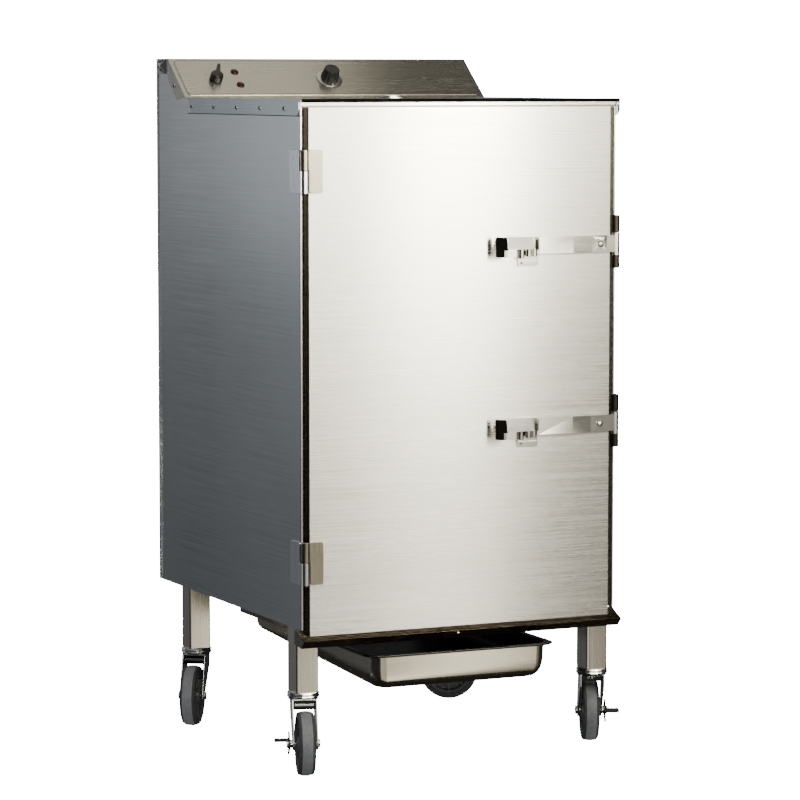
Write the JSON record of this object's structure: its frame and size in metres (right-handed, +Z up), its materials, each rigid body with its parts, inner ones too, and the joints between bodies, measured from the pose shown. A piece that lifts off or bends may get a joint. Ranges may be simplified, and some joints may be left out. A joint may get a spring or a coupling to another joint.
{
  "type": "mobile insulated proofing and holding cabinet",
  "caption": "Upright insulated cabinet on locking swivel casters, with a latched front door, sloping control panel on top and a pull-out drip pan underneath.",
  "frame": {"origin": "on the floor, under the middle of the whole object's bounding box", "axes": "+Z up, the door faces -Y, the door's hinges are at -X and its latches at +X"},
  "size_m": [0.6211, 0.6894, 1.117],
  "materials": {
    "shell_steel": "brushed stainless sheet, grain along the panel",
    "liner_steel": "bright stainless sheet and wire",
    "fascia_steel": "fine brushed stainless sheet",
    "door_steel": "stainless sheet, brushed across the door",
    "leg_steel": "brushed stainless square tube",
    "gutter_steel": "folded stainless sheet, darker in the shade",
    "pan_steel": "drawn and polished stainless pan",
    "hardware_steel": "satin stainless fittings",
    "caster_steel": "bright zinc plated pressings",
    "brake_steel": "plated lever, worn dark",
    "hub_plastic": "moulded wheel centre",
    "tyre_rubber": "grey non-marking tread",
    "knob_plastic": "black moulded knob with a white index line",
    "lens_plastic": "dark red lens",
    "control_plastic": "black moulded control body and cable gland",
    "gasket_rubber": "dark extruded seal",
    "element_steel": "heat darkened sheath",
    "mineral_wool": "glass or mineral wool batt"
  },
  "bodies": {
    "cabinet": {"left_side_panel": "shell_steel", "right_side_panel": "shell_steel", "back_panel": "shell_steel", "bottom_panel": "shell_steel", "top_cover": "shell_steel", "inner_liner": "liner_steel", "face_frame": "gutter_steel", "insulation": "mineral_wool", "control_fascia": "fascia_steel", "control_faceplate": "fascia_steel", "pilot_lights": "lens_plastic", "control_switches": "control_plastic", "power_inlet": "control_plastic", "cover_screws": "hardware_steel", "vent_collar": "liner_steel", "drain_tube": "liner_steel", "drip_gutter": "gutter_steel", "pan_runners": "gutter_steel", "legs": "leg_steel", "caster_races": "caster_steel", "hinge_body_leaves": "hardware_steel", "strike_brackets": "hardware_steel", "heating_element": "element_steel", "rack_supports": "liner_steel", "wire_racks": "liner_steel", "water_pan": "liner_steel"},
    "door": {"door_skin": "door_steel", "door_inner_panel": "door_steel", "door_insulation": "mineral_wool", "door_gasket": "gasket_rubber", "hinge_door_leaves": "hardware_steel", "latch_bases": "hardware_steel"},
    "switch_knob": {"switch_knob": "knob_plastic"},
    "thermostat_knob": {"thermostat_knob": "knob_plastic"},
    "drip_pan": {"drip_pan": "pan_steel"},
    "lower_latch_lever": {"lower_latch_lever": "hardware_steel"},
    "lower_latch_strap": {"lower_latch_strap": "hardware_steel", "lower_latch_hook": "hardware_steel"},
    "upper_latch_lever": {"upper_latch_lever": "hardware_steel"},
    "upper_latch_strap": {"upper_latch_strap": "hardware_steel", "upper_latch_hook": "hardware_steel"},
    "front_left_caster_swivel": {"front_left_caster_fork": "caster_steel", "front_left_caster_axle": "caster_steel"},
    "front_left_caster_wheel": {"front_left_caster_hub": "hub_plastic", "front_left_caster_tyre": "tyre_rubber"},
    "front_left_brake_pedal": {"front_left_brake_pedal": "brake_steel"},
    "front_right_caster_swivel": {"front_right_caster_fork": "caster_steel", "front_right_caster_axle": "caster_steel"},
    "front_right_caster_wheel": {"front_right_caster_hub": "hub_plastic", "front_right_caster_tyre": "tyre_rubber"},
    "front_right_brake_pedal": {"front_right_brake_pedal": "brake_steel"},
    "rear_left_caster_swivel": {"rear_left_caster_fork": "caster_steel", "rear_left_caster_axle": "caster_steel"},
    "rear_left_caster_wheel": {"rear_left_caster_hub": "hub_plastic", "rear_left_caster_tyre": "tyre_rubber"},
    "rear_right_caster_swivel": {"rear_right_caster_fork": "caster_steel", "rear_right_caster_axle": "caster_steel"},
    "rear_right_caster_wheel": {"rear_right_caster_hub": "hub_plastic", "rear_right_caster_tyre": "tyre_rubber"}
  },
  "joints": [
    {"name": "door_swing", "type": "hinge", "parent": "cabinet", "child": "door", "pos_m": [-0.27, -0.29375, 0.63], "axis": [0, 0, -1], "range_deg": [0, 110]},
    {"name": "drip_pan_slide", "type": "slide", "parent": "cabinet", "child": "drip_pan", "axis": [0, -1, 0], "range_m": [0, 0.3]},
    {"name": "switch_turn", "type": "hinge", "parent": "cabinet", "child": "switch_knob", "pos_m": [-0.207, 0.22774, 1.0819], "axis": [0, -0.6235, 0.7818], "range_deg": [0, 180]},
    {"name": "thermostat_turn", "type": "hinge", "parent": "cabinet", "child": "thermostat_knob", "pos_m": [0, 0.22774, 1.0819], "axis": [0, -0.6235, 0.7818], "range_deg": [-270, 0]},
    {"name": "lower_latch_lever_turn", "type": "hinge", "parent": "door", "child": "lower_latch_lever", "pos_m": [0.112, -0.30175, 0.533], "axis": [0, 0, 1], "range_deg": [0, 100]},
    {"name": "lower_latch_strap_turn", "type": "hinge", "parent": "lower_latch_lever", "child": "lower_latch_strap", "pos_m": [0.1, -0.29975, 0.533], "axis": [0, 0, 1], "range_deg": [-100, 0]},
    {"name": "upper_latch_lever_turn", "type": "hinge", "parent": "door", "child": "upper_latch_lever", "pos_m": [0.112, -0.30175, 0.821], "axis": [0, 0, 1], "range_deg": [0, 100]},
    {"name": "upper_latch_strap_turn", "type": "hinge", "parent": "upper_latch_lever", "child": "upper_latch_strap", "pos_m": [0.1, -0.29975, 0.821], "axis": [0, 0, 1], "range_deg": [-100, 0]},
    {"name": "front_left_caster_turn", "type": "hinge", "parent": "cabinet", "child": "front_left_caster_swivel", "pos_m": [-0.256, -0.24975, 0.116], "axis": [0, 0, 1], "continuous": true},
    {"name": "front_left_wheel_roll", "type": "hinge", "parent": "front_left_caster_swivel", "child": "front_left_caster_wheel", "pos_m": [-0.26682, -0.28304, 0.0508], "axis": [0.9511, -0.309, 0], "continuous": true},
    {"name": "front_left_brake_press", "type": "hinge", "parent": "front_left_caster_swivel", "child": "front_left_brake_pedal", "pos_m": [-0.26682, -0.28304, 0.0508], "axis": [-0.9511, 0.309, 0], "range_deg": [0, 18]},
    {"name": "front_right_caster_turn", "type": "hinge", "parent": "cabinet", "child": "front_right_caster_swivel", "pos_m": [0.256, -0.24975, 0.116], "axis": [0, 0, 1], "continuous": true},
    {"name": "front_right_wheel_roll", "type": "hinge", "parent": "front_right_caster_swivel", "child": "front_right_caster_wheel", "pos_m": [0.26939, -0.21741, 0.0508], "axis": [-0.9239, 0.3827, 0], "continuous": true},
    {"name": "front_right_brake_press", "type": "hinge", "parent": "front_right_caster_swivel", "child": "front_right_brake_pedal", "pos_m": [0.26939, -0.21741, 0.0508], "axis": [0.9239, -0.3827, 0], "range_deg": [0, 18]},
    {"name": "rear_left_caster_turn", "type": "hinge", "parent": "cabinet", "child": "rear_left_caster_swivel", "pos_m": [-0.256, 0.20675, 0.116], "axis": [0, 0, 1], "continuous": true},
    {"name": "rear_left_wheel_roll", "type": "hinge", "parent": "rear_left_caster_swivel", "child": "rear_left_caster_wheel", "pos_m": [-0.27506, 0.1774, 0.0508], "axis": [0.8387, -0.5446, 0], "continuous": true},
    {"name": "rear_right_caster_turn", "type": "hinge", "parent": "cabinet", "child": "rear_right_caster_swivel", "pos_m": [0.256, 0.20675, 0.116], "axis": [0, 0, 1], "continuous": true},
    {"name": "rear_right_wheel_roll", "type": "hinge", "parent": "rear_right_caster_swivel", "child": "rear_right_caster_wheel", "pos_m": [0.22454, 0.22209, 0.0508], "axis": [-0.4384, -0.8988, 0], "continuous": true}
  ],
  "couplings": [
    {"joint": "lower_latch_strap_turn", "follows": "lower_latch_lever_turn", "ratio": -1},
    {"joint": "upper_latch_strap_turn", "follows": "upper_latch_lever_turn", "ratio": -1}
  ]
}
